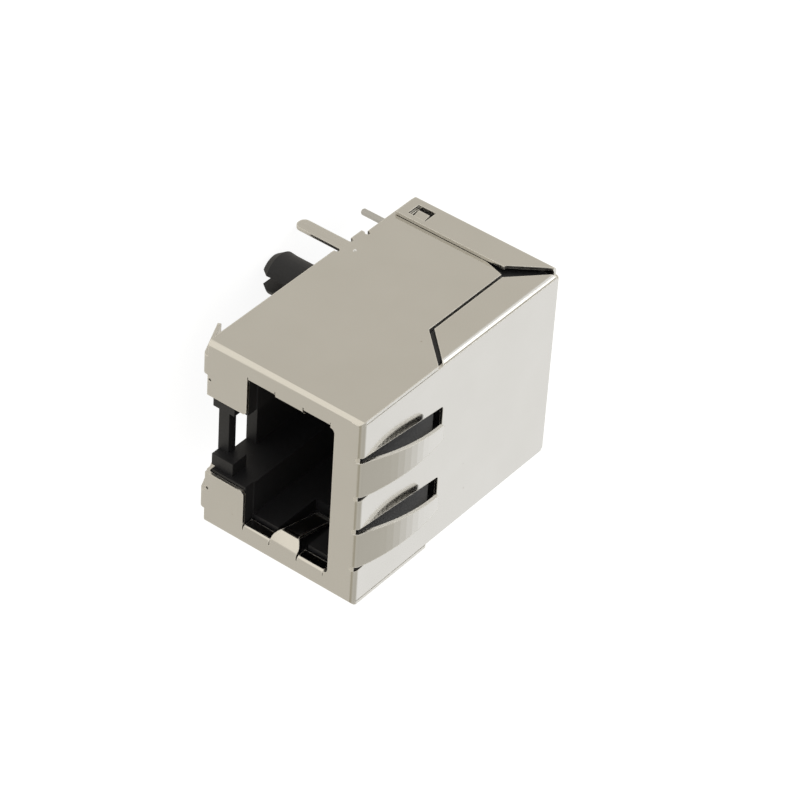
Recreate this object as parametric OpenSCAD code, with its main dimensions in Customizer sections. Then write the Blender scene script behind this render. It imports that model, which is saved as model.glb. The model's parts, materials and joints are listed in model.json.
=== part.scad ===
// Shielded eight-way modular jack with built-in magnetics, for a printed circuit board.
//
// Millimetres. +Z points up off the board and +Y away from the plug. The origin is on the
// board's surface, midway between the two board pegs. Inside the file a place is given the
// way the drawing of such a jack gives it: d is the distance behind the front face, v is the
// distance below the top of the shield, and x is measured from the middle.

/* [Shield] */
// Width across the side walls
shell_w = 15.9; // [15.6:0.1:17]
// Front face to the back of the rear door
shell_l = 21.65; // [21.4:0.05:23]
// Top wall down to the lower edge of the side walls
shell_h = 13; // [12.8:0.1:14]
// Thickness of the sheet
sheet_t = 0.25; // [0.2:0.05:0.3]
// Outside radius of the sheet's bends
bend_r = 0.45; // [0.4:0.05:0.55]
// Open seam between the top wall and the side walls
seam = 0.06; // [0.04:0.02:0.12]

/* [Plug opening] */
// Width of the opening in the front face
opening_w = 12.55; // [12.3:0.05:12.9]
// Height of the opening
opening_h = 7.35; // [7.1:0.05:7.6]
// Margin of sheet above the opening
opening_top = 2.25; // [2.1:0.05:2.5]
// Corner radius at the top of the opening
opening_r = 0.35; // [0.2:0.05:0.5]
// Width of the latch notch below the opening
notch_w = 6.75; // [6.6:0.05:7]
// Depth of the folded flanges at the sides of the opening
flange_l = 0.95; // [0.8:0.05:1.1]

/* [Top spring fingers] */
// Distance between the two fingers' centre lines
finger_pitch = 6.15; // [5.8:0.05:6.5]
// Width of a finger at its root
finger_root_w = 2.9; // [2.6:0.1:3.1]
// Width of a finger at its free end
finger_tip_w = 1.25; // [1:0.05:1.4]
// Depth of a finger's free end behind the front face
finger_l = 7.7; // [7:0.05:7.9]
// Height of a finger's crest above the top wall
finger_rise = 1.12; // [0.9:0.02:1.3]
// Angle at which a finger climbs out of the front bend
finger_angle = 18; // [16:0.5:19]
// Radius of the arc that takes a finger over its crest
finger_arc = 14.8; // [13.6:0.1:16]
// Length of the window round a finger
window_l = 8.85; // [8.6:0.05:9.2]
// Width of the window at the front
window_front_w = 3.7; // [3.5:0.05:3.9]
// Width of the window at the back
window_back_w = 1.9; // [1.7:0.05:2.2]

/* [Side springs] */
// Height of a spring at its root
spring_root_h = 2.3; // [2:0.05:2.4]
// Height of a spring from its crest back
spring_tip_h = 1.3; // [1.1:0.05:1.5]
// How far the crest stands into the opening
spring_rise = 0.85; // [0.6:0.05:0.95]
// Depth of the crest behind the front face
spring_crest = 0.85; // [0.75:0.05:1.1]
// Depth of the spring's free end
spring_l = 4.6; // [4:0.1:5]

/* [Bottom spring fingers] */
// Width of a finger below the front face
foot_w = 1.55; // [1.4:0.05:1.7]
// Distance between the two fingers' centre lines
foot_pitch = 11.7; // [11.6:0.05:11.85]
// How far a finger reaches back
foot_l = 3.2; // [2.8:0.1:3.4]
// How far its tip hangs below the side walls
foot_drop = 1.7; // [1.4:0.1:1.9]

/* [Rear door] */
// Length of the door's side flaps
flap_l = 2.5; // [2.3:0.05:2.7]
// Gap between a flap and the side wall under it
flap_gap = 0.04; // [0.02:0.02:0.1]
// Height of the side walls' rear part above their lower edge
wall_lift = 0.35; // [0.25:0.05:0.5]
// Height of the door's lower edge above the side walls' lower edge
door_lift = 0.6; // [0.5:0.05:0.7]
// Height of the locking lance
lance_h = 0.95; // [0.8:0.05:1.1]
// Distance of the lance's middle above the side walls' lower edge
lance_up = 2.1; // [1.9:0.1:2.3]
// Free end of the lance, measured from the back of the door
lance_end = 1.15; // [1.05:0.05:1.3]

/* [Top side flaps] */
// Front end of a top side flap
side_flap_d = 8.45; // [8.3:0.05:8.8]
// Height of a top side flap
side_flap_h = 2.65; // [2.4:0.05:2.9]
// Slanted clearance in front of the flap
side_flap_gap = 0.46; // [0.3:0.02:0.5]

/* [Ground tabs] */
// Width of a tab
tab_w = 1.1; // [1:0.05:1.2]
// Distance from the peg line back to the tabs
tab_back = 3.05; // [2.9:0.05:3.15]
// Length of a tab below the board's surface
tab_drop = 3.5; // [3:0.05:3.8]
// Width of the bead pressed along a tab
bead_w = 0.4; // [0.3:0.05:0.5]

/* [Board pegs] */
// Height of the housing above the board
stand_off = 0.35; // [0.25:0.05:0.5]
// Distance between the pegs
peg_pitch = 11.43; // [11.2:0.01:11.6]
// Diameter of a peg
peg_d = 3.15; // [3:0.05:3.2]
// Front face to the peg line
peg_back = 11.05; // [10.8:0.05:11.3]
// Length of a peg below the board's surface
peg_drop = 3.15; // [2.8:0.05:3.4]
// Length of a peg's tapered tip
peg_taper = 0.6; // [0.4:0.05:0.8]
// How far the barb above the tip stands out
peg_barb = 0.05; // [0.02:0.01:0.1]
// Width of the slot that splits a peg
peg_slot = 1.2; // [0.8:0.05:1.4]
// Length of that slot
peg_slot_l = 2; // [1.2:0.1:2.1]

/* [Housing] */
// Radius of the housing's outer edges
housing_r = 0.3; // [0.25:0.05:0.4]
// Play between the housing and the shield round it
fit = 0.05; // [0.03:0.01:0.1]
// Thickness of the housing's outer walls at the back
wall = 0.9; // [0.8:0.05:1]
// Width of the plug cavity
cavity_w = 11.9; // [11.75:0.05:12.1]
// Depth of the plug cavity
cavity_l = 12; // [11.8:0.05:12.2]
// Thickness of the cavity's back wall
back_wall = 1.2; // [1:0.05:1.3]
// Width of the latch channel
channel_w = 6.3; // [6.1:0.05:6.5]
// Length of the latch channel
channel_l = 9.5; // [9:0.1:9.8]
// Thickness of the floor under the latch channel
floor_t = 0.9; // [0.8:0.05:1]
// Clear width between the latch catches
catch_gap = 4.2; // [4.1:0.05:4.5]
// Height of the latch catches
catch_h = 1.9; // [1.6:0.05:2.1]

/* [Contacts] */
// Distance from one contact to the next
contact_pitch = 1.02; // [1:0.01:1.04]
// Width of a contact
contact_w = 0.35; // [0.3:0.01:0.4]
// Thickness of a contact
contact_t = 0.3; // [0.25:0.01:0.32]
// How far a contact falls from its front bend to its free end
contact_fall = 3; // [2.6:0.05:3.2]

/* [Terminals] */
// Distance from one terminal to the next across the jack
terminal_pitch = 1.27; // [1.2:0.01:1.28]
// Diameter of a terminal
terminal_d = 0.5; // [0.45:0.01:0.6]
// Distance from the peg line back to the front row
row_back = 6.75; // [6.35:0.01:6.8]
// Distance between the two rows
row_gap = 2.54; // [2.4:0.01:2.6]
// Length of a terminal below the board's surface
terminal_drop = 2.75; // [2.5:0.05:3.3]
// Length of a terminal's chamfered end
terminal_point = 0.1; // [0.05:0.05:0.3]
// Width of the square shank that is pressed into the base
shank_w = 0.6; // [0.55:0.01:0.7]

/* [Magnetics] */
// Thickness of the inner circuit board
pcb_t = 0.8; // [0.6:0.05:1]
// Height of the terminal base under the inner circuit board
base_h = 2.3; // [2.1:0.05:2.5]
// Outside diameter of a transformer core
transformer_od = 4; // [3.6:0.1:4.2]
// Thickness of a transformer core
transformer_t = 1.7; // [1.5:0.05:1.8]
// Outside diameter of a choke core
choke_od = 3.2; // [2.8:0.1:3.4]
// Thickness of a choke core
choke_t = 1.5; // [1.3:0.05:1.6]
// Space between one coil and the next
coil_gap = 0.5; // [0.3:0.05:0.6]
// Height of the silicone round the coils' feet
silicone_h = 0.8; // [0.5:0.05:1]
// Length, width and height of a termination resistor
resistor = [1.6, 0.8, 0.45];
// Length, width and height of the isolation capacitor
capacitor = [3.2, 1.4, 0.9];
// Space between one chip part and the next
chip_gap = 0.3; // [0.2:0.05:0.5]
// Diameter of the winding wire
wire_d = 0.22; // [0.18:0.01:0.25]
// Turns on each core
turns = 12; // [8:1:13]

/* [Hidden] */

$fn = 48;
cut = 1;                     // how far a cutting shape runs past what it cuts
joint = 0.05;                // overlap that makes two shapes of one piece into one
step_angle = 12;             // largest angle of one flat in a bend
step_length = 0.6;           // longest flat in a bend

top_z = stand_off + shell_h;
half_w = shell_w / 2;
mid_r = bend_r - sheet_t / 2;
step_d = peg_back + tab_back + 2.1;
rear_low = shell_h - wall_lift;
door_low = shell_h - door_lift;
lance_v = shell_h - lance_up;
foot_x = (foot_pitch - foot_w) / 2;

// Plug opening and the cavity behind it
opening_v = opening_top + opening_h;
opening_x = opening_w / 2;
flange_x = opening_x + sheet_t + 0.15;
cavity_top = opening_top + 0.2;
spring_v = opening_v - 3.5;
spring_tip_x = opening_x + 0.25;
spring_slot = 0.08;

// Housing
housing_x = half_w - sheet_t - fit;
housing_front = sheet_t + fit;
housing_back = shell_l - sheet_t - fit;
housing_top = sheet_t + fit;
lip_back = housing_front + 1.1;
foot_pad = 1.4;
foot_pad_d = 5;
pocket_x = housing_x - wall;
pocket_d = cavity_l + back_wall;
pocket_top = housing_top + wall;
catch_top = shell_h - catch_h;
catch_d = 0.6;
catch_back = 2.05;
bar_d = 1.32;
channel_open = 4.32;
channel_floor = shell_h - floor_t;

// Contacts and their carrier
tongue_d = 2.8;
tongue_v = pocket_top + fit;
tongue_t = 1;
hairpin_r = (tongue_t + contact_t) / 2 + 0.2;
contact_v = tongue_v + contact_t / 2 + 0.1;
contact_low_v = contact_v + 2 * hairpin_r;
contact_end = cavity_l + 0.5;
comb_slot = contact_w + 0.15;
comb_bottom = cavity_top + contact_fall + 0.9;
tail_r = 0.4;
tail_d = pocket_d + tail_r;
tail_step = 0.6;
carrier_x = 3.5 * contact_pitch + 1.5;

// Rear module
base_d = pocket_d + 0.15;
base_pad_d = base_d + 0.6;
base_x = pocket_x - fit;
base_v = shell_h - base_h;
pcb_v = base_v - pcb_t;
pcb_back = housing_back - 0.3;
slip = 0.01;

function unit(p) = p / norm(p);
function turned_left(p) = [-p[1], p[0]];
function turn_of(u, w) = atan2(u[0] * w[1] - u[1] * w[0], u * w);
function spun(p, a) = [p[0] * cos(a) - p[1] * sin(a), p[0] * sin(a) + p[1] * cos(a)];

// The points of a path's bend at b, set off to the left by side. r is the bend's middle radius.
function bend(a, b, c, r, side) =
    let (u = unit(b - a), w = unit(c - b), turn = turn_of(u, w), s = sign(turn))
    r == 0 || abs(turn) < 1
        ? [b + (turned_left(u) + turned_left(w)) / (1 + u * w) * side]
        : let (centre = b - u * r * tan(abs(turn) / 2) + turned_left(u) * s * r,
               steps = ceil(max(abs(turn) / step_angle, abs(turn) * PI / 180 * r / step_length)))
          [for (k = [0:steps]) centre - spun(turned_left(u), turn * k / steps) * (s * r - side)];

// One long edge of a sheet that follows a path
function edge(path, radii, side) =
    let (last = len(path) - 1)
    [path[0] + turned_left(unit(path[1] - path[0])) * side,
     for (k = [1:1:last - 1]) each bend(path[k - 1], path[k], path[k + 1], radii[k - 1], side),
     path[last] + turned_left(unit(path[last] - path[last - 1])) * side];

// The outline of a sheet of thickness t, bent along a path with one radius for each bend
function strip(path, radii, t = sheet_t) =
    let (far = edge(path, radii, -t / 2))
    concat(edge(path, radii, t / 2), [for (k = [len(far) - 1:-1:0]) far[k]]);

// A closed outline with each corner rounded by its own radius
function rounded(corners, radii) =
    let (n = len(corners))
    [for (k = [0:n - 1]) each bend(corners[(k + n - 1) % n], corners[k], corners[(k + 1) % n], radii[k], 0)];

// A flat shape in x and v, made solid from depth d0 to depth d1
module from_front(d0, d1)
    translate([0, d0 - peg_back, top_z]) rotate([-90, 0, 0]) linear_extrude(d1 - d0) children();

// A flat shape in d and v, made solid from x0 to x1
module from_side(x0, x1)
    translate([x0, -peg_back, top_z]) rotate([90, 0, 90]) mirror([0, 1, 0])
        linear_extrude(x1 - x0) children();

// A flat shape in x and d, made solid from v0 down to v1
module from_top(v0, v1)
    translate([0, -peg_back, top_z - v1]) linear_extrude(v1 - v0) children();

// A block between two values of x, of d and of v
module block(x, d, v)
    translate([x[0], d[0] - peg_back, top_z - v[1]]) cube([x[1] - x[0], d[1] - d[0], v[1] - v[0]]);

// A block that reaches as far to the left as to the right
module middle_block(x, d, v) block([-x, x], d, v);

module both_sides() {
    children();
    mirror([1, 0, 0]) children();
}

// ---- Shield: one blank of thin sheet, cut and folded ----

// Front face and the two side walls
module front_and_sides() {
    x = half_w - sheet_t / 2;
    back = shell_l - sheet_t - flap_gap;
    difference() {
        from_top(0, shell_h)
            polygon(strip([[-x, back], [-x, sheet_t / 2], [x, sheet_t / 2], [x, back]], [mid_r, mid_r]));
        middle_block(half_w - bend_r, [-cut, bend_r], [-cut, bend_r]);
        from_side(-half_w - cut, half_w + cut) front_top_corner();
        both_sides() from_side(half_w - sheet_t - cut, half_w + cut) side_wall_cuts();
    }
}

// What the front and top bend takes off the square corner
module front_top_corner()
    difference() {
        translate([-cut, -cut]) square(bend_r + cut);
        translate([bend_r, bend_r]) circle(bend_r);
    }

// The cut edges of a side wall, in d and v
module side_wall_cuts() {
    slope = side_flap_h - 0.15;
    gap_v = side_flap_h + 0.22;
    flap_front = shell_l - flap_l;
    polygon([[side_flap_d - side_flap_gap, -cut],
             [side_flap_d - side_flap_gap, 0],
             [side_flap_d - side_flap_gap + slope + 0.15, gap_v],
             [flap_front - 0.5, gap_v],
             [flap_front + 0.15, gap_v + 2.2],
             [shell_l, gap_v + 2.2],
             [shell_l, -cut]]);
    polygon([[step_d, shell_h + cut], [step_d, rear_low], [shell_l, rear_low], [shell_l, shell_h + cut]]);
    for (relief = [[step_d + 0.05, rear_low - 0.12],
                   [peg_back + tab_back - tab_w / 2 - 0.19, shell_h - 0.1],
                   [peg_back + tab_back + tab_w / 2 + 0.19, shell_h - 0.1]])
        translate(relief) circle(0.2);
}

// Top wall with its front bend, and the top of the rear door
module top_wall() {
    x = half_w - sheet_t - seam;
    middle_d = shell_l / 2;
    from_side(-x, x)
        polygon(strip([[sheet_t / 2, 2 * bend_r], [sheet_t / 2, sheet_t / 2], [middle_d, sheet_t / 2]],
                      [mid_r]));
    block([-x, x], [middle_d - joint, shell_l - bend_r], [0, sheet_t]);
    rear_x = half_w - bend_r;
    from_side(-rear_x, rear_x)
        polygon(strip([[shell_l - 2 * bend_r, sheet_t / 2], [shell_l - sheet_t / 2, sheet_t / 2],
                       [shell_l - sheet_t / 2, 2 * bend_r]], [mid_r]));
}

// Flap folded down from the top wall, in the plane of the side wall
module top_side_flap() {
    x = half_w - sheet_t / 2;
    slope = side_flap_h - 0.15;
    end_d = shell_l - bend_r;
    intersection() {
        from_front(side_flap_d, end_d)
            polygon(strip([[half_w - 3 * bend_r, sheet_t / 2], [x, sheet_t / 2], [x, side_flap_h]], [mid_r]));
        from_side(half_w - 4 * bend_r, half_w + cut)
            polygon([[side_flap_d, -cut], [side_flap_d, 0], [side_flap_d + slope, side_flap_h],
                     [end_d - side_flap_h - 0.1, side_flap_h], [end_d, 0.1], [end_d, -cut]]);
    }
}

// Rear door: the back wall and the flaps that wrap outside the side walls
module rear_door() {
    x = half_w + flap_gap + sheet_t / 2;
    d = shell_l - sheet_t / 2;
    front = shell_l - flap_l;
    difference() {
        from_top(bend_r, door_low)
            polygon(strip([[-x, front], [-x, d], [x, d], [x, front]], [mid_r, mid_r]));
        both_sides() {
            from_side(half_w - joint, half_w + cut)
                polygon([[front - cut, -cut], [front - cut, side_flap_h + 0.4],
                         [front + 0.1, side_flap_h + 0.4], [front + 0.25, side_flap_h + 0.3],
                         [shell_l - 0.35, bend_r], [shell_l + cut, bend_r], [shell_l + cut, -cut]]);
            from_side(half_w, half_w + cut) lance_window();
        }
    }
}

// The window in a rear flap that the side wall's lance locks into
module lance_window() {
    half = lance_h / 2 + 0.27;
    translate([shell_l - lance_end - 0.9, lance_v - half]) square([1.2, 2 * half]);
}

// Lance of a side wall: cut on three sides and bent outwards
module lance() {
    x = half_w - sheet_t / 2;
    end = shell_l - lance_end;
    from_top(lance_v - lance_h / 2, lance_v + lance_h / 2)
        polygon(strip([[x, end - 0.95], [x, end - 0.6], [x + 0.15, end]], [0.3]));
}

// Hole left in a side wall round its lance
module lance_hole() {
    half = lance_h / 2 + 0.15;
    from_side(half_w - sheet_t - cut, half_w + cut)
        translate([shell_l - lance_end - 0.8, lance_v - half]) square([1.2, 2 * half]);
}

// Plug opening, latch notch and the reliefs of the folded edges, in x and v
module front_opening() {
    x = opening_x;
    polygon(rounded([[-x, opening_v], [-x, opening_top], [x, opening_top], [x, opening_v]],
                    [0, opening_r, opening_r, 0]));
    translate([-flange_x, opening_top + opening_r]) square([2 * flange_x, opening_h - opening_r + 0.03]);
    notch = notch_w / 2;
    shoulder = 0.25;
    polygon([[-notch - shoulder, opening_v], [-notch, opening_v + shoulder], [-notch, shell_h + cut],
             [notch, shell_h + cut], [notch, opening_v + shoulder], [notch + shoulder, opening_v]]);
}

// Rounded flanges folded in at the sides of the opening, above and below the spring
module opening_flanges() {
    x = opening_x + sheet_t / 2;
    root_top = spring_v - spring_root_h / 2 - spring_slot;
    root_bottom = spring_v + spring_root_h / 2 + spring_slot;
    for (v = [[opening_top + opening_r + 0.05, root_top], [root_bottom, opening_v - 0.03]])
        from_top(v[0], v[1])
            polygon(strip([[flange_x + joint, sheet_t / 2], [x, sheet_t / 2], [x, flange_l]], [0.2]));
}

// Spring at the side of the opening that grips the plug
module side_spring() {
    crest_x = opening_x - spring_rise + sheet_t / 2;
    intersection() {
        from_top(spring_v - spring_root_h / 2, spring_v + spring_root_h / 2)
            polygon(strip([[flange_x + joint, sheet_t / 2], [opening_x + 0.05, sheet_t / 2],
                           [crest_x, spring_crest], [spring_tip_x, spring_l]], [0.3, 0.45]));
        from_side(0, half_w) {
            root = spring_root_h / 2;
            tip = spring_tip_h / 2;
            shoulder = spring_crest + 0.1;
            polygon(rounded([[0, spring_v - root], [0.35, spring_v - root], [shoulder, spring_v - tip],
                             [spring_l, spring_v - tip], [spring_l, spring_v + tip],
                             [shoulder, spring_v + tip], [0.35, spring_v + root], [0, spring_v + root]],
                            [0, 0.3, 0.5, 0.3, 0.3, 0.5, 0.3, 0]));
        }
    }
}

// Window in the top wall round one finger, in x and d. It starts in the front bend.
module finger_window() {
    front = window_front_w / 2;
    back = window_back_w / 2;
    polygon(rounded([[-front, 0.12], [front, 0.12], [back, window_l], [-back, window_l]],
                    [0, 0, 0.2, 0.2]));
}

// Finger that climbs out of the front bend, goes over its crest in one long arc and ends free in
// the air. It presses on the panel above the jack.
module top_finger() {
    mid = sheet_t / 2;
    straight = (finger_rise - finger_arc * (1 - cos(finger_angle))) / sin(finger_angle);
    fall = asin((finger_l - mid - straight * cos(finger_angle)) / finger_arc - sin(finger_angle));
    tangent = finger_arc * tan((finger_angle + fall) / 2);
    knee = [mid, mid] + (straight + tangent) * [cos(finger_angle), -sin(finger_angle)];
    end = knee + (tangent + joint) * [cos(fall), sin(fall)];
    root = finger_root_w / 2;
    tip = finger_tip_w / 2;
    intersection() {
        from_side(-root, root)
            polygon(strip([[mid, 2 * bend_r], [mid, mid], knee, end], [mid_r, finger_arc]));
        from_top(-finger_rise - cut, 2 * bend_r)
            polygon(rounded([[-root, -cut], [root, -cut], [root, 1], [tip, finger_l], [-tip, finger_l],
                             [-root, 1]], [0, 0, 0, 0.2, 0.2, 0]));
    }
}

// Finger below the front face that presses on the panel under the jack
module bottom_finger() {
    mid = sheet_t / 2;
    from_side(foot_x, foot_x + foot_w)
        polygon(strip([[mid, shell_h - 2 * bend_r], [mid, shell_h + 0.3], [foot_l, shell_h + foot_drop]],
                      [mid_r]));
}

// Short lip folded under the housing, between the latch notch and a bottom finger
module bottom_lip() {
    mid = sheet_t / 2;
    x = notch_w / 2;
    from_side(x, foot_x - 0.45)
        polygon(strip([[mid, shell_h - 2 * bend_r], [mid, shell_h - mid + 0.1], [1, shell_h - mid + 0.1]],
                      [mid_r]));
}

// Round relief between the lip and the bottom finger
module bottom_relief()
    from_front(-cut, sheet_t + cut)
        translate([foot_x - 0.35, shell_h - 0.2]) circle(0.12);

// Tab of a side wall that is soldered into the board, with its pressed bead
module ground_tab() {
    d = peg_back + tab_back;
    end_v = top_z + tab_drop;
    tip = 0.5;
    from_side(half_w - sheet_t, half_w)
        polygon(rounded([[d - tab_w / 2, shell_h - 0.3], [d + tab_w / 2, shell_h - 0.3],
                         [d + tab_w / 2, end_v], [d - tab_w / 2, end_v]], [0, 0, tip, tip]));
    translate([half_w - bead_w / 5, d - peg_back, -tab_drop + 0.6]) {
        cylinder(d = bead_w, h = tab_drop + stand_off + 0.4);
        sphere(d = bead_w);
        translate([0, 0, tab_drop + stand_off + 0.4]) sphere(d = bead_w);
    }
}

module shield() color("#b8b1a5") {
    difference() {
        union() {
            front_and_sides();
            difference() {
                top_wall();
                both_sides() translate([finger_pitch / 2, 0, 0])
                    from_top(-cut, bend_r) finger_window();
            }
        }
        from_front(-cut, sheet_t + 0.01) front_opening();
        both_sides() {
            bottom_relief();
            lance_hole();
        }
    }
    rear_door();
    both_sides() {
        top_side_flap();
        opening_flanges();
        side_spring();
        translate([finger_pitch / 2, 0, 0]) top_finger();
        bottom_finger();
        bottom_lip();
        ground_tab();
        lance();
    }
}

// ---- Housing: one black moulding ----

// Plug cavity, with room at its sides for the shield's flanges and springs
module plug_cavity() {
    middle_block(cavity_w / 2, [-cut, cavity_l], [cavity_top, opening_v]);
    middle_block(flange_x + 0.1, [-cut, flange_l + 0.2], [opening_top + 0.1, opening_v + 0.1]);
    spring_room = spring_root_h / 2 + 0.15;
    middle_block(spring_tip_x + sheet_t + 0.15, [-cut, spring_l + 0.6],
                 [spring_v - spring_room, spring_v + spring_room]);
}

// Channel for the plug's latch, narrowed at the front by the two catches
module latch_channel() {
    x = channel_w / 2;
    difference() {
        union() {
            middle_block(x, [-cut, channel_l], [opening_v - cut, channel_floor]);
            middle_block(x, [-cut, channel_open], [opening_v, shell_h + cut]);
        }
        both_sides() block([catch_gap / 2, x + cut], [catch_d, catch_back], [catch_top, shell_h - 0.07]);
        middle_block(catch_gap / 2 + joint, [bar_d, catch_back], [channel_floor, shell_h]);
    }
    both_sides()
        block([x - 0.1, x + 1.5], [-cut, 1.2], [shell_h - sheet_t - 0.1, shell_h + cut]);
}

// Peg that locates the jack on its board: chamfered at the tip and split so that it can close
module board_peg() {
    r = peg_d / 2;
    difference() {
        rotate_extrude()
            polygon([[0, -peg_drop], [r - 0.35, -peg_drop], [r + peg_barb, peg_taper - peg_drop],
                     [r, 2 * peg_taper - peg_drop], [r, stand_off + joint], [0, stand_off + joint]]);
        translate([-peg_slot / 2, -peg_d, -peg_drop - cut])
            cube([peg_slot, 2 * peg_d, peg_slot_l + cut]);
    }
}

// Pads that stand the housing off the board
module housing_feet()
    both_sides()
        block([pocket_x - foot_pad, pocket_x], [foot_pad_d, foot_pad_d + foot_pad], [shell_h - joint, top_z]);

// Outer form of the moulding, with its edges rounded to sit inside the shield's bends
module housing_body() {
    x = housing_x;
    r = housing_r;
    intersection() {
        from_front(housing_front, housing_back)
            polygon(rounded([[-x, housing_top], [x, housing_top], [x, shell_h], [-x, shell_h]],
                            [r, r, 0, 0]));
        from_side(-x, x)
            polygon(rounded([[housing_front, housing_top], [housing_back, housing_top],
                             [housing_back, shell_h], [housing_front, shell_h]], [r, r, 0, r]));
        from_top(housing_top, shell_h)
            polygon(rounded([[-x, housing_front], [x, housing_front], [x, housing_back], [-x, housing_back]],
                            [r, r, r, r]));
    }
}

module housing() color("#26262a") {
    difference() {
        housing_body();
        plug_cavity();
        latch_channel();
        middle_block(carrier_x + fit, [lip_back, pocket_d + cut], [pocket_top, cavity_top + joint]);
        middle_block(cavity_w / 2, [cavity_l - joint, pocket_d + cut], [cavity_top, comb_bottom + fit]);
        middle_block(pocket_x, [pocket_d, shell_l], [pocket_top, shell_h + cut]);
        both_sides() {
            translate([finger_pitch / 2, 0, 0])
                block([-1.1, 1.1], [window_l - 0.65, window_l + 0.3], [-cut, housing_top + 0.6]);
            block([notch_w / 2, housing_x + cut], [-cut, foot_l], [shell_h - 0.1, shell_h + cut]);
            block([pocket_x - joint, housing_x + cut], [step_d - 0.4, shell_l], [rear_low, shell_h + cut]);
        }
    }
    both_sides() translate([peg_pitch / 2, 0, 0]) board_peg();
    housing_feet();
}

// ---- Contact carrier and contacts ----

// Places of the eight contacts, counted from the left
function contact_x(k) = (k - 4.5) * contact_pitch;

// Depth at which a contact turns down to the inner circuit board, in two staggered rows
function contact_tail(k) = tail_d + (k % 2) * tail_step;

module contact_carrier() color("#1e1e22")
    difference() {
        union() {
            from_side(-carrier_x, carrier_x)
                polygon(rounded([[tongue_d, tongue_v], [pocket_d, tongue_v],
                                 [pocket_d, tongue_v + tongue_t], [tongue_d, tongue_v + tongue_t]],
                                [0.45, 0, 0, 0.45]));
            middle_block(cavity_w / 2 - fit, [cavity_l, pocket_d], [cavity_top + fit, comb_bottom]);
            middle_block(carrier_x, [cavity_l, pocket_d], [tongue_v, cavity_top + 2 * fit]);
        }
        for (k = [1:8]) {
            x = contact_x(k);
            block([x - contact_w / 2 - slip, x + contact_w / 2 + slip], [0, shell_l],
                  [0, contact_v + contact_t / 2]);
            block([x - comb_slot / 2, x + comb_slot / 2], [cavity_l - cut, contact_end + 0.1],
                  [tongue_v + tongue_t, comb_bottom + cut]);
        }
    }

// Contact: along the top of the carrier, round its nose and back down into the cavity
module contact(k) {
    x = contact_x(k);
    tail = contact_tail(k);
    nose = tongue_d - hairpin_r;
    color("#d9b25a") from_side(x - contact_w / 2, x + contact_w / 2)
        polygon(strip([[tail, base_v], [tail, contact_v], [nose, contact_v], [nose, contact_low_v],
                       [contact_end, contact_low_v + contact_fall]],
                      [tail_r, hairpin_r * 0.98, hairpin_r * 0.9], contact_t));
}

// ---- Rear module: inner circuit board on the terminal base ----

// Places of the terminals: even ones in the front row, odd ones in the rear row
function terminal_x(k) = (k - 5.5) * terminal_pitch;
function terminal_d_at(k) = peg_back + row_back + (k % 2) * row_gap;

// Round pin with a chamfered end, and a square shank that is pressed into the base
module terminal(k)
    color("#cfcfcc") translate([terminal_x(k), terminal_d_at(k) - peg_back, 0]) {
        r = terminal_d / 2;
        rotate_extrude()
            polygon([[0, -terminal_drop], [0.7 * r, -terminal_drop], [r, terminal_point - terminal_drop],
                     [r, stand_off + joint], [0, stand_off + joint]]);
        translate([0, 0, stand_off]) linear_extrude(top_z - pcb_v - stand_off) square(shank_w, center = true);
    }

module at_terminals()
    for (k = [1:10])
        translate([terminal_x(k), terminal_d_at(k) - peg_back, -cut]) linear_extrude(top_z) children();

module terminal_base() color("#2c2c30")
    difference() {
        union() {
            middle_block(base_x, [base_d, housing_back], [base_v, shell_h]);
            both_sides()
                block([base_x - foot_pad, base_x], [base_pad_d, base_pad_d + foot_pad],
                      [shell_h - joint, top_z]);
        }
        middle_block(base_x - 2 * foot_pad, [base_d + wall, peg_back + row_back - 1.2],
                     [shell_h - 0.8, shell_h + cut]);
        middle_block(chips_x + chip_gap, [tail_d - contact_w, chip_d + capacitor[1] / 2 + chip_gap],
                     [base_v - cut, base_v + capacitor[2] + 0.1]);
        at_terminals() square(shank_w + 2 * slip, center = true);
    }

module circuit_board() color("#2f6b45")
    difference() {
        middle_block(base_x - 0.3, [base_d, pcb_back], [pcb_v, base_v]);
        at_terminals() circle(d = shank_w * sqrt(2) + 2 * slip);
        for (k = [1:8])
            block([contact_x(k) - contact_w / 2 - slip, contact_x(k) + contact_w / 2 + slip],
                  [contact_tail(k) - contact_t / 2 - slip, contact_tail(k) + contact_t / 2 + slip],
                  [pcb_v - cut, base_v + cut]);
    }

// ---- Magnetics: each coil is a ferrite ring with its winding, standing on edge ----

coil_d = pcb_back - transformer_od / 2 - wire_d;
coil_hole = 0.45;            // a core's bore as a share of its outside diameter
transformer_w = transformer_t + 2 * wire_d;
choke_w = choke_t + 2 * wire_d;
transmit_transformer_x = -transformer_w / 2 - choke_w - 1.5 * coil_gap;
receive_transformer_x = transmit_transformer_x + transformer_w + coil_gap;
transmit_choke_x = receive_transformer_x + (transformer_w + choke_w) / 2 + coil_gap;
receive_choke_x = transmit_choke_x + choke_w + coil_gap;

// Puts a coil's axis across the jack, with the coil standing on the inner circuit board
module stand_coil(x, od)
    translate([x, coil_d - peg_back, top_z - pcb_v + od / 2 + wire_d]) rotate([0, 90, 0]) children();

module coil_core(x, od, t)
    color("#3b3a3c") stand_coil(x, od)
        rotate_extrude()
            translate([od * coil_hole / 2, -t / 2]) square([od * (1 - coil_hole) / 2, t]);

// Each turn is a closed loop of wire round the ring's section
module coil_winding(x, od, t)
    color("#b5682f") stand_coil(x, od)
        for (k = [0:turns - 1])
            rotate([0, 0, k * 360 / turns])
                difference() {
                    inner = od * coil_hole / 2;
                    translate([inner - wire_d, -wire_d / 2, -t / 2 - wire_d])
                        cube([od / 2 - inner + 2 * wire_d, wire_d, t + 2 * wire_d]);
                    translate([inner - slip, -wire_d, -t / 2 - slip])
                        cube([od / 2 - inner + 2 * slip, 2 * wire_d, t + 2 * slip]);
                }

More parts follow.
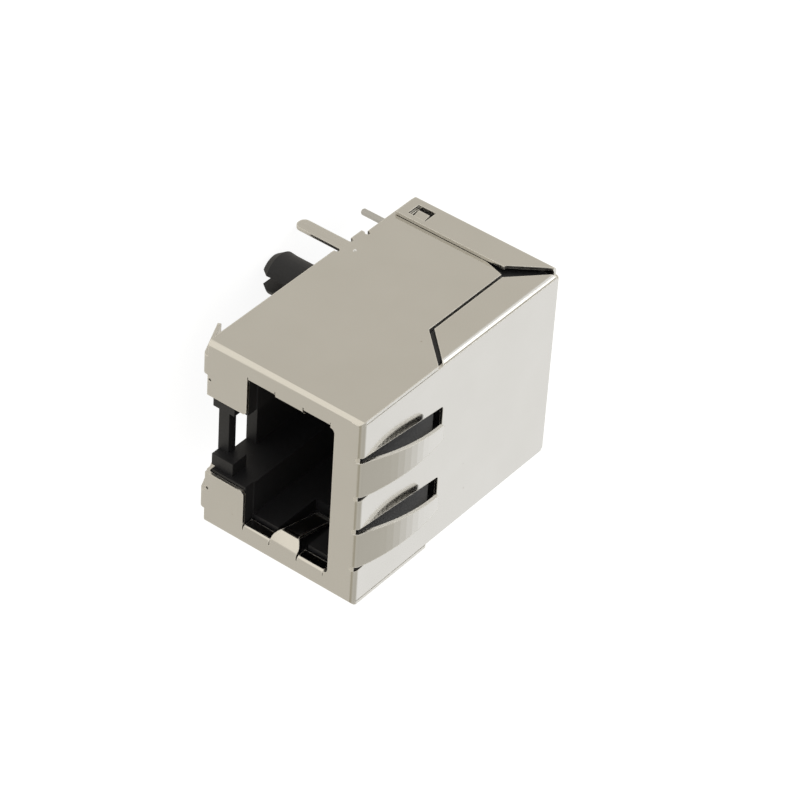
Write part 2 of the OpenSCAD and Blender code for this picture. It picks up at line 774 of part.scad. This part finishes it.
// Soft silicone that holds the coils on the board
module coil_silicone() color("#d8d4cc")
    difference() {
        middle_block(base_x - 0.8, [coil_d - transformer_od / 2, pcb_back], [pcb_v - silicone_h, pcb_v]);
        for (coil = [[transmit_transformer_x, transformer_od, transformer_t],
                     [receive_transformer_x, transformer_od, transformer_t],
                     [transmit_choke_x, choke_od, choke_t], [receive_choke_x, choke_od, choke_t]])
            stand_coil(coil[0], coil[1])
                cylinder(r = coil[1] / 2 + wire_d + slip, h = coil[2] + 2 * (wire_d + slip), center = true);
    }

// ---- Chip parts under the inner circuit board, in one row behind the contact tails ----

chip_d = tail_d + tail_step + contact_t / 2 + chip_gap + capacitor[1] / 2;
chips_x = (4 * resistor[0] + capacitor[0] + 4 * chip_gap) / 2;

// A chip of that length, width and height, with its left end at x
module chip(x, size)
    block([x, x + size[0]], [chip_d - size[1] / 2, chip_d + size[1] / 2], [base_v, base_v + size[2]]);

module termination_resistor(k)
    color("#1b1b1d") chip((k - 1) * (resistor[0] + chip_gap) - chips_x, resistor);

module isolation_capacitor()
    color("#b79a6b") chip(chips_x - capacitor[0], capacitor);

shield();
housing();
contact_carrier();
contact(1);  // contact_1
contact(2);  // contact_2
contact(3);  // contact_3
contact(4);  // contact_4
contact(5);  // contact_5
contact(6);  // contact_6
contact(7);  // contact_7
contact(8);  // contact_8
circuit_board();
terminal_base();
terminal(1);  // terminal_1
terminal(2);  // terminal_2
terminal(3);  // terminal_3
terminal(4);  // terminal_4
terminal(5);  // terminal_5
terminal(6);  // terminal_6
terminal(7);  // terminal_7
terminal(8);  // terminal_8
terminal(9);  // terminal_9
terminal(10);  // terminal_10
coil_core(transmit_transformer_x, transformer_od, transformer_t);  // transmit_transformer_core
coil_winding(transmit_transformer_x, transformer_od, transformer_t);  // transmit_transformer_winding
coil_core(receive_transformer_x, transformer_od, transformer_t);  // receive_transformer_core
coil_winding(receive_transformer_x, transformer_od, transformer_t);  // receive_transformer_winding
coil_core(transmit_choke_x, choke_od, choke_t);  // transmit_choke_core
coil_winding(transmit_choke_x, choke_od, choke_t);  // transmit_choke_winding
coil_core(receive_choke_x, choke_od, choke_t);  // receive_choke_core
coil_winding(receive_choke_x, choke_od, choke_t);  // receive_choke_winding
termination_resistor(1);  // termination_resistor_1
termination_resistor(2);  // termination_resistor_2
termination_resistor(3);  // termination_resistor_3
termination_resistor(4);  // termination_resistor_4
isolation_capacitor();
coil_silicone();
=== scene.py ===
"""Modular board jack in a folded nickel-plated shield: finishes, camera, floor and light."""

import json
import math

import bmesh
import bpy
from mathutils import Matrix, Vector


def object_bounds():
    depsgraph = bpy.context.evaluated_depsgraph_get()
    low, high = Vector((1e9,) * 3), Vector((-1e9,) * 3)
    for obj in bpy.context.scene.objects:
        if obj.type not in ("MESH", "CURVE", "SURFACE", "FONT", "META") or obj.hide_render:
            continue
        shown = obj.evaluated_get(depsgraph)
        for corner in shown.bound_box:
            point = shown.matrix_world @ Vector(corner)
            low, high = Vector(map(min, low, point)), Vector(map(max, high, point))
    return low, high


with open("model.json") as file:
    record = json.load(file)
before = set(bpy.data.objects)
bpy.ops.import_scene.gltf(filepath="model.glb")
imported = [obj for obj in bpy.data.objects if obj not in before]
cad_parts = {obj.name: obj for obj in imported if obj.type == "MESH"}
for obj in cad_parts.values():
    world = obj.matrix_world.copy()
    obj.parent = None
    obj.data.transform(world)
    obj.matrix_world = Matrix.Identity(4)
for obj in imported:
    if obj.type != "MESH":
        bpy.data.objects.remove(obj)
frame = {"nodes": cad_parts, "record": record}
cad_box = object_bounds()

MM = 0.001


# ---- Small tools ----


def linear(hex_colour):
    """An sRGB colour such as "#26262a" as linear RGBA."""
    parts = [int(hex_colour[k : k + 2], 16) / 255 for k in (1, 3, 5)]
    return [c / 12.92 if c <= 0.04045 else ((c + 0.055) / 1.055) ** 2.4 for c in parts] + [1.0]


def add(tree, kind, inputs=None, **settings):
    """Adds a node with its settings, and gives each named input a value or a link."""
    made = tree.nodes.new(kind)
    for name, value in settings.items():
        setattr(made, name, value)
    for name, value in (inputs or {}).items():
        if isinstance(value, bpy.types.NodeSocket):
            tree.links.new(value, made.inputs[name])
        else:
            made.inputs[name].default_value = value
    return made


def start_material(name, colour, roughness, metallic=0.0, **sockets):
    """A new Principled material. Returns its node tree and its shader."""
    made = bpy.data.materials.new(name)
    made.use_nodes = True
    shader = made.node_tree.nodes["Principled BSDF"]
    values = {"Base Color": linear(colour), "Roughness": roughness, "Metallic": metallic, **sockets}
    for socket, value in values.items():
        shader.inputs[socket].default_value = value
    return made.node_tree, shader


def per_mm(size_mm):
    """The texture scale that gives a pattern of this size."""
    return 1000 / size_mm


# ---- Finishes (their sizes are in millimetres) ----


def nickel_sheet():
    """Bright nickel over rolled steel: neutral grey and nearly a mirror, with faint rolling streaks,
    a slow cloudiness and a few specks. The sheared edges are matte, and their paler colour is a painted
    highlight. Every corner is rounded a little by the tumbling before plating."""
    streak_w, streak_l, streak_depth = 0.12, 3.0, 0.0006
    cloud = 3.0
    speck_gap, speck_r = 2.4, 0.108
    edge_reach, corner_r = 0.2, 0.05
    tree, shader = start_material("nickel_plated_sheet", "#dad8d3", 0.1, 1.0)
    place = add(tree, "ShaderNodeTexCoord").outputs["Object"]
    along = add(tree, "ShaderNodeMapping",
                {"Vector": place, "Scale": (per_mm(streak_w), per_mm(streak_l), per_mm(streak_w))})
    streaks = add(tree, "ShaderNodeTexNoise",
                  {"Vector": along.outputs["Vector"], "Scale": 1.0, "Detail": 3.0})
    clouds = add(tree, "ShaderNodeTexNoise", {"Vector": place, "Scale": per_mm(cloud), "Detail": 3.0})
    dots = add(tree, "ShaderNodeTexVoronoi", {"Vector": place, "Scale": per_mm(speck_gap)})
    speck = add(tree, "ShaderNodeMapRange",
                {"Value": dots.outputs["Distance"], "From Max": speck_r / speck_gap,
                 "To Min": 0.7, "To Max": 0.0})
    # looking inwards from a cut edge, both faces of the thin sheet are near
    inwards = add(tree, "ShaderNodeAmbientOcclusion", {"Distance": edge_reach * MM},
                  samples=8, inside=True, only_local=True)
    cut_edge = add(tree, "ShaderNodeMapRange",
                   {"Value": inwards.outputs["AO"], "From Min": 0.5, "From Max": 0.72,
                    "To Min": 1.0, "To Max": 0.0})
    tint = add(tree, "ShaderNodeMix",
               {"Factor": clouds.outputs["Fac"], "A": linear("#dddbd6"), "B": linear("#d7d5cf")},
               data_type="RGBA")
    marked = add(tree, "ShaderNodeMix",
                 {"Factor": speck.outputs["Result"], "A": tint.outputs["Result"], "B": linear("#b5aea4")},
                 data_type="RGBA")
    # painted highlight: a paler colour on the sheared edges stands in for the light they catch; their higher
    # roughness below is real
    painted_edge_highlight = add(tree, "ShaderNodeMix",
                  {"Factor": cut_edge.outputs["Result"], "A": marked.outputs["Result"],
                   "B": linear("#f2efe8")},
                  data_type="RGBA")
    tree.links.new(painted_edge_highlight.outputs["Result"], shader.inputs["Base Color"])
    satin = add(tree, "ShaderNodeMapRange", {"Value": streaks.outputs["Fac"], "To Min": 0.08, "To Max": 0.14})
    rough = add(tree, "ShaderNodeMapRange",
                {"Value": cut_edge.outputs["Result"], "To Min": satin.outputs["Result"], "To Max": 0.55})
    tree.links.new(rough.outputs["Result"], shader.inputs["Roughness"])
    corner = add(tree, "ShaderNodeBevel", {"Radius": corner_r * MM}, samples=6)
    drawn = add(tree, "ShaderNodeBump",
                {"Height": streaks.outputs["Fac"], "Distance": streak_depth * MM,
                 "Normal": corner.outputs["Normal"]})
    tree.links.new(drawn.outputs["Normal"], shader.inputs["Normal"])


def moulded_plastic(name, colour, lighter):
    """Glass-filled PBT from a spark-eroded mould: near black, matte, with a fine pebble grain."""
    grain, grain_depth = 0.12, 0.012
    flow_mark = 2.5
    tree, shader = start_material(name, colour, 0.5)
    place = add(tree, "ShaderNodeTexCoord").outputs["Object"]
    pebble = add(tree, "ShaderNodeTexNoise", {"Vector": place, "Scale": per_mm(grain), "Detail": 4.0})
    flow = add(tree, "ShaderNodeTexNoise", {"Vector": place, "Scale": per_mm(flow_mark), "Detail": 2.0})
    shade = add(tree, "ShaderNodeMix",
                {"Factor": flow.outputs["Fac"], "A": linear(colour), "B": linear(lighter)}, data_type="RGBA")
    tree.links.new(shade.outputs["Result"], shader.inputs["Base Color"])
    rough = add(tree, "ShaderNodeMapRange",
                {"Value": pebble.outputs["Fac"], "To Min": 0.42, "To Max": 0.6})
    tree.links.new(rough.outputs["Result"], shader.inputs["Roughness"])
    bump = add(tree, "ShaderNodeBump", {"Height": pebble.outputs["Fac"], "Distance": grain_depth * MM})
    tree.links.new(bump.outputs["Normal"], shader.inputs["Normal"])


def plated_metal(name, colour, shade, roughness, line_w):
    """Electroplated or enamelled strip, pin or wire: a bright even metal with fine draw lines."""
    line_l, line_depth = 1.5, 0.002
    tree, shader = start_material(name, colour, roughness, 1.0)
    place = add(tree, "ShaderNodeTexCoord").outputs["Object"]
    lines = add(tree, "ShaderNodeMapping",
                {"Vector": place, "Scale": (per_mm(line_w), per_mm(line_l), per_mm(line_l))})
    draw = add(tree, "ShaderNodeTexNoise", {"Vector": lines.outputs["Vector"], "Scale": 1.0, "Detail": 3.0})
    tint = add(tree, "ShaderNodeMix",
               {"Factor": draw.outputs["Fac"], "A": linear(colour), "B": linear(shade)}, data_type="RGBA")
    tree.links.new(tint.outputs["Result"], shader.inputs["Base Color"])
    rough = add(tree, "ShaderNodeMapRange",
                {"Value": draw.outputs["Fac"], "To Min": roughness * 0.8, "To Max": roughness * 1.3})
    tree.links.new(rough.outputs["Result"], shader.inputs["Roughness"])
    bump = add(tree, "ShaderNodeBump", {"Height": draw.outputs["Fac"], "Distance": line_depth * MM})
    tree.links.new(bump.outputs["Normal"], shader.inputs["Normal"])


def board_laminate():
    """Glass-epoxy board under green solder mask: the weave shows through as faint squares. The
    threads of the real cloth are about half as far apart, too fine to show."""
    thread_gap, thread_depth = 0.9425, 0.004
    band_gap = math.pi / 10   # a wave texture's bands are this far apart at a scale of 1
    scale = band_gap * per_mm(thread_gap)
    tree, shader = start_material("solder_mask_on_glass_epoxy", "#1f5a38", 0.3, **{"Coat Weight": 0.4})
    place = add(tree, "ShaderNodeTexCoord").outputs["Object"]
    warp = add(tree, "ShaderNodeTexWave", {"Vector": place, "Scale": scale, "Distortion": 0.4},
               bands_direction="X")
    weft = add(tree, "ShaderNodeTexWave", {"Vector": place, "Scale": scale, "Distortion": 0.4},
               bands_direction="Y")
    weave = add(tree, "ShaderNodeMath", {0: warp.outputs["Fac"], 1: weft.outputs["Fac"]},
                operation="MULTIPLY")
    tint = add(tree, "ShaderNodeMix",
               {"Factor": weave.outputs["Value"], "A": linear("#1c5233"), "B": linear("#2a6e47")},
               data_type="RGBA")
    tree.links.new(tint.outputs["Result"], shader.inputs["Base Color"])
    bump = add(tree, "ShaderNodeBump", {"Height": weave.outputs["Value"], "Distance": thread_depth * MM})
    tree.links.new(bump.outputs["Normal"], shader.inputs["Normal"])


def fired_body(name, colour, fleck, roughness, grain):
    """Sintered ceramic or ferrite: matte, with a powdery grain and small pale flecks."""
    grain_depth = 0.01
    tree, shader = start_material(name, colour, roughness)
    place = add(tree, "ShaderNodeTexCoord").outputs["Object"]
    powder = add(tree, "ShaderNodeTexNoise", {"Vector": place, "Scale": per_mm(grain), "Detail": 5.0})
    fleck_at = add(tree, "ShaderNodeMapRange",
                   {"Value": powder.outputs["Fac"], "From Min": 0.55, "From Max": 0.7})
    tint = add(tree, "ShaderNodeMix",
               {"Factor": fleck_at.outputs["Result"], "A": linear(colour), "B": linear(fleck)},
               data_type="RGBA")
    tree.links.new(tint.outputs["Result"], shader.inputs["Base Color"])
    bump = add(tree, "ShaderNodeBump", {"Height": powder.outputs["Fac"], "Distance": grain_depth * MM})
    tree.links.new(bump.outputs["Normal"], shader.inputs["Normal"])


def soft_silicone():
    """Room-cured silicone: milky, a little see-through, with a soft uneven skin."""
    ripple, ripple_depth, glow_depth = 1.1, 0.06, 0.8
    tree, shader = start_material("cured_silicone", "#ded9cf", 0.38,
                                  **{"IOR": 1.41, "Subsurface Weight": 0.4,
                                     "Subsurface Scale": glow_depth * MM})
    place = add(tree, "ShaderNodeTexCoord").outputs["Object"]
    skin = add(tree, "ShaderNodeTexNoise", {"Vector": place, "Scale": per_mm(ripple), "Detail": 2.0})
    bump = add(tree, "ShaderNodeBump", {"Height": skin.outputs["Fac"], "Distance": ripple_depth * MM})
    tree.links.new(bump.outputs["Normal"], shader.inputs["Normal"])


nickel_sheet()
moulded_plastic("black_pbt", "#202022", "#28282a")
moulded_plastic("carrier_pbt", "#18181a", "#202022")
plated_metal("gold_plated_bronze", "#e6c06c", "#d8ad58", 0.2, 0.05)
plated_metal("tin_plated_pin", "#dcdcda", "#c9c8c4", 0.3, 0.06)
plated_metal("enamelled_copper", "#c9743d", "#b05f2c", 0.24, 0.03)
board_laminate()
fired_body("nickel_zinc_ferrite", "#3b3a3c", "#565456", 0.62, 0.12)
fired_body("chip_resistor_glaze", "#1c1c1e", "#2b2b2e", 0.35, 0.2)
fired_body("chip_capacitor_body", "#b4925f", "#c5a878", 0.5, 0.1)
soft_silicone()

FINISH_OF_SLOT = {
    "nickel_sheet": "nickel_plated_sheet",
    "black_plastic": "black_pbt",
    "carrier_plastic": "carrier_pbt",
    "gold_contact": "gold_plated_bronze",
    "tinned_terminal": "tin_plated_pin",
    "copper_wire": "enamelled_copper",
    "board_laminate": "solder_mask_on_glass_epoxy",
    "ferrite": "nickel_zinc_ferrite",
    "resistor_body": "chip_resistor_glaze",
    "capacitor_body": "chip_capacitor_body",
    "silicone": "cured_silicone",
}

for part in frame["record"]["subparts"]:
    for slot in frame["nodes"][part["node"]].material_slots:
        slot.material = bpy.data.materials[FINISH_OF_SLOT[part["material_slot"]]]


# ---- Camera ----

CAMERA_AT = Vector((-170.54, -168.05, 128.91)) * MM
CAMERA_AIM = Vector((0.18, 0.56, 7.81)) * MM
CAMERA_ROLL = math.radians(118.34)
LENS_MM = 177.64
SENSOR_MM = 36

camera = bpy.data.objects.new("camera", bpy.data.cameras.new("camera"))
bpy.context.collection.objects.link(camera)
camera.data.sensor_width = SENSOR_MM
camera.data.lens = LENS_MM
camera.data.clip_start = 10 * MM
camera.location = CAMERA_AT
camera.rotation_mode = "QUATERNION"
camera.rotation_quaternion = (CAMERA_AIM - CAMERA_AT).to_track_quat("-Z", "Y") @ Matrix.Rotation(
    CAMERA_ROLL, 3, "Z").to_quaternion()
bpy.context.scene.camera = camera


# ---- Floor ----

FLOOR_HALF = 3.0              # metres from the middle to an edge
FLOOR_GAP = 0.02 * MM         # below the lowest point of the jack
FLOOR_SHADE = "#d9d4ca"       # what the metal sees of the floor
FLOOR_LEVEL = 0.95            # how bright the metal sees it
PAINTED_REFLECTION_LEVEL = 1.45           # and how bright the painted reflection: a corner before the front left edge that glows only to the metal
CORNER_X = (-3 * MM, -6 * MM)       # where the corner's brightness starts and is full
CORNER_Y = (-9 * MM, -13 * MM)
PAPER_GLOW = 1.3              # keeps the paper white to the eye
GLOW_SHARE = 0.7              # the rest of the paper's white takes the jack's shadow

floor_mesh = bpy.data.meshes.new("floor")
shape = bmesh.new()
bmesh.ops.create_grid(shape, x_segments=1, y_segments=1, size=FLOOR_HALF,
                      matrix=Matrix.Translation((0, 0, cad_box[0][2] - FLOOR_GAP)))
shape.to_mesh(floor_mesh)
shape.free()
floor = bpy.data.objects.new("floor", floor_mesh)
bpy.context.collection.objects.link(floor)

paper = bpy.data.materials.new("white_paper")
paper.use_nodes = True
tree = paper.node_tree
tree.nodes.clear()
rays = add(tree, "ShaderNodeLightPath")
place = add(tree, "ShaderNodeTexCoord").outputs["Object"]
axes = add(tree, "ShaderNodeSeparateXYZ", {"Vector": place})
matte = add(tree, "ShaderNodeBsdfDiffuse", {"Color": linear("#f4f4f2")})
glow = add(tree, "ShaderNodeEmission", {"Color": (1, 1, 1, 1), "Strength": PAPER_GLOW})
seen = add(tree, "ShaderNodeMixShader", {0: GLOW_SHARE, 1: matte.outputs[0], 2: glow.outputs[0]})
# painted reflection: the floor corner glows brighter to the metal only, which puts a light line on the
# upright bends
left = add(tree, "ShaderNodeMapRange",
           {"Value": axes.outputs["X"], "From Min": CORNER_X[0], "From Max": CORNER_X[1]})
ahead = add(tree, "ShaderNodeMapRange",
            {"Value": axes.outputs["Y"], "From Min": CORNER_Y[0], "From Max": CORNER_Y[1]})
corner = add(tree, "ShaderNodeMath", {0: left.outputs["Result"], 1: ahead.outputs["Result"]},
             operation="MULTIPLY")
level = add(tree, "ShaderNodeMapRange",
            {"Value": corner.outputs["Value"], "To Min": FLOOR_LEVEL, "To Max": PAINTED_REFLECTION_LEVEL})
glossy_floor_with_painted_reflection = add(tree, "ShaderNodeEmission",
               {"Color": linear(FLOOR_SHADE), "Strength": level.outputs["Result"]})
not_seen = add(tree, "ShaderNodeMixShader",
               {0: rays.outputs["Is Glossy Ray"], 1: matte.outputs[0], 2: glossy_floor_with_painted_reflection.outputs[0]})
chosen = add(tree, "ShaderNodeMixShader",
             {0: rays.outputs["Is Camera Ray"], 1: not_seen.outputs[0], 2: seen.outputs[0]})
add(tree, "ShaderNodeOutputMaterial", {"Surface": chosen.outputs[0]})
floor.data.materials.append(paper)


# ---- Light ----

LAMP_AIM = Vector((0, 0, 6 * MM))


def softbox(name, direction, distance, size, level):
    """A square lamp that faces the part. level is its brightness, where 1 is white."""
    lamp = bpy.data.lights.new(name, "AREA")
    lamp.size = size
    lamp.energy = level * math.pi * size * size
    made = bpy.data.objects.new(name, lamp)
    bpy.context.collection.objects.link(made)
    way = Vector(direction).normalized()
    made.location = LAMP_AIM + way * distance
    made.rotation_mode = "QUATERNION"
    made.rotation_quaternion = way.to_track_quat("Z", "Y")


softbox("softbox_back_left", direction=(-0.4, 0.63, 0.66), distance=0.4, size=0.14, level=1.4)

HORIZON = "#ffffff"
CEILING = "#b8b4ac"
BETWEEN = ((0.46, "#fdfdfd"), (0.66, "#c9c6be"))   # sine of the angle above the horizon, and shade
WALL = "#b3ad9e"
TO_WALL = (0.64, -0.77, 0.0)

world = bpy.data.worlds.new("studio")
bpy.context.scene.world = world
world.use_nodes = True
tree = world.node_tree
tree.nodes.clear()
rays = add(tree, "ShaderNodeLightPath")
direction = add(tree, "ShaderNodeTexCoord").outputs["Generated"]
height = add(tree, "ShaderNodeSeparateXYZ", {"Vector": direction}).outputs["Z"]
sky = add(tree, "ShaderNodeValToRGB", {"Fac": height})
stops = sky.color_ramp.elements
stops[0].color = linear(HORIZON)
stops[1].color = linear(CEILING)
for rise, shade in BETWEEN:
    stops.new(rise).color = linear(shade)
# a grey wall stands low on the right of the front face, and the top front bend mirrors it
towards = add(tree, "ShaderNodeVectorMath", {0: direction, 1: TO_WALL}, operation="DOT_PRODUCT")
wall = add(tree, "ShaderNodeMapRange", {"Value": towards.outputs["Value"], "From Min": 0.7, "From Max": 0.88})
scenery = add(tree, "ShaderNodeMix",
              {"Factor": wall.outputs["Result"], "A": sky.outputs["Color"], "B": linear(WALL)},
              data_type="RGBA")
around = add(tree, "ShaderNodeBackground", {"Color": scenery.outputs["Result"], "Strength": 1.0})
white = add(tree, "ShaderNodeBackground", {"Color": (1, 1, 1, 1), "Strength": 1.0})
shown = add(tree, "ShaderNodeMixShader",
            {0: rays.outputs["Is Camera Ray"], 1: around.outputs[0], 2: white.outputs[0]})
add(tree, "ShaderNodeOutputWorld", {"Surface": shown.outputs[0]})

bpy.context.scene.view_settings.view_transform = "Standard"
